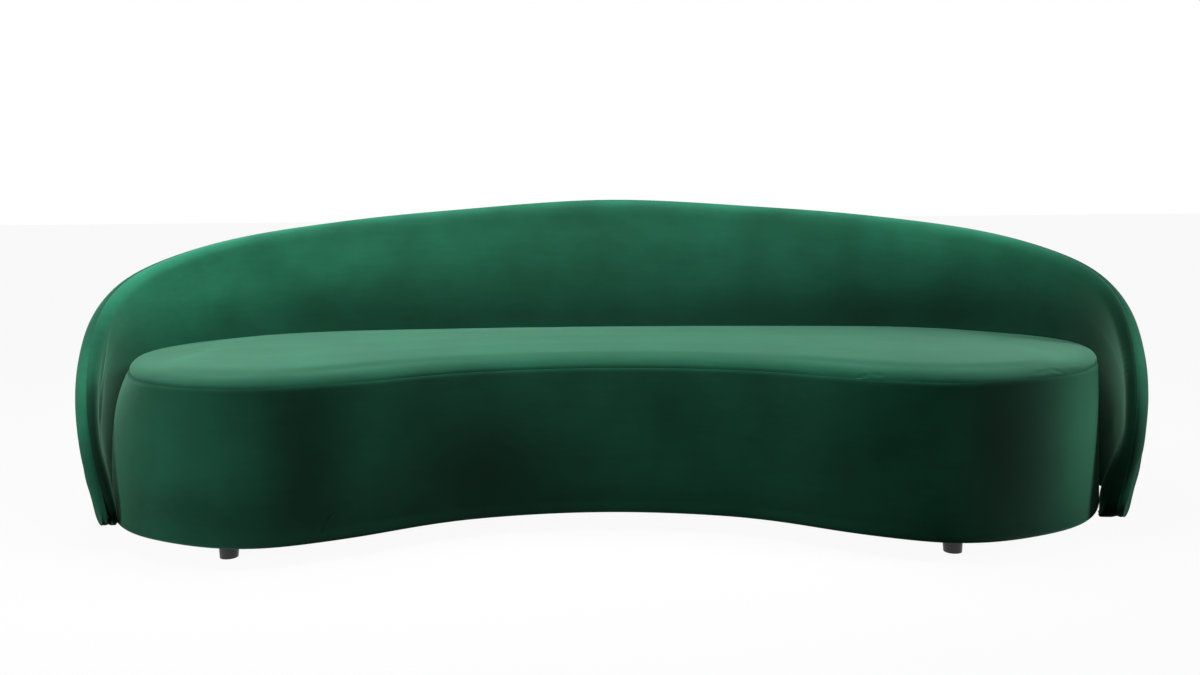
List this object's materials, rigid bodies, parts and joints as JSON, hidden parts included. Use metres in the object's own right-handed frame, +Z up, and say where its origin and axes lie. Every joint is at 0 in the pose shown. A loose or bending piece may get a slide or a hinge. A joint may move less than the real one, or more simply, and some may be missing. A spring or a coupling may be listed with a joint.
{
  "type": "curved sofa",
  "caption": "Curved, kidney-shaped upholstered sofa with a separate wrap-round back that falls to rounded noses, on low round feet.",
  "frame": {"origin": "on the floor, below the middle of the sofa's overall box", "axes": "+X along the length, to the sitter's left; +Y to the rear, away from the open front; +Z up"},
  "size_m": [2.6362, 0.9894, 0.788],
  "materials": {
    "green_velvet": "matte",
    "pale_foam": "matte",
    "black_dust_cloth": "matte",
    "hardboard": "matte",
    "plywood": "matte",
    "webbing": "matte",
    "black_plastic": "satin",
    "zinc_steel": "satin"
  },
  "bodies": {
    "root": {"seat_top_cover": "green_velvet", "seat_side_cover": "green_velvet", "back_inside_cover": "green_velvet", "back_outside_cover": "green_velvet", "seat_foam": "pale_foam", "seat_side_foam": "pale_foam", "back_inside_foam": "pale_foam", "back_outside_foam": "pale_foam", "seat_dust_cover": "black_dust_cloth", "seat_wall_board_front": "hardboard", "seat_wall_board_right": "hardboard", "seat_wall_board_rear": "hardboard", "seat_wall_board_left": "hardboard", "back_inside_board": "hardboard", "back_outside_board": "hardboard", "seat_bottom_frame": "plywood", "seat_top_frame": "plywood", "seat_post_1": "plywood", "seat_post_2": "plywood", "seat_post_3": "plywood", "seat_post_4": "plywood", "seat_post_5": "plywood", "seat_post_6": "plywood", "seat_post_7": "plywood", "seat_post_8": "plywood", "seat_post_9": "plywood", "seat_bearer_1": "plywood", "seat_bearer_2": "plywood", "seat_bearer_3": "plywood", "middle_foot_block": "plywood", "back_bottom_rail": "plywood", "back_arch_rail": "plywood", "back_upright_1": "plywood", "back_upright_2": "plywood", "back_upright_3": "plywood", "back_upright_4": "plywood", "back_upright_5": "plywood", "back_upright_6": "plywood", "seat_web_strap_1": "webbing", "seat_web_strap_2": "webbing", "seat_web_strap_3": "webbing", "seat_web_strap_4": "webbing", "seat_web_strap_5": "webbing", "seat_web_strap_6": "webbing", "seat_web_strap_7": "webbing", "foot_front_left": "black_plastic", "foot_front_right": "black_plastic", "foot_rear_left": "black_plastic", "foot_rear_right": "black_plastic", "foot_middle": "black_plastic", "foot_stud_front_left": "zinc_steel", "foot_stud_front_right": "zinc_steel", "foot_stud_rear_left": "zinc_steel", "foot_stud_rear_right": "zinc_steel", "foot_stud_middle": "zinc_steel", "joining_bolt_1": "zinc_steel", "joining_bolt_2": "zinc_steel", "joining_bolt_3": "zinc_steel", "joining_bolt_4": "zinc_steel"}
  },
  "joints": []
}
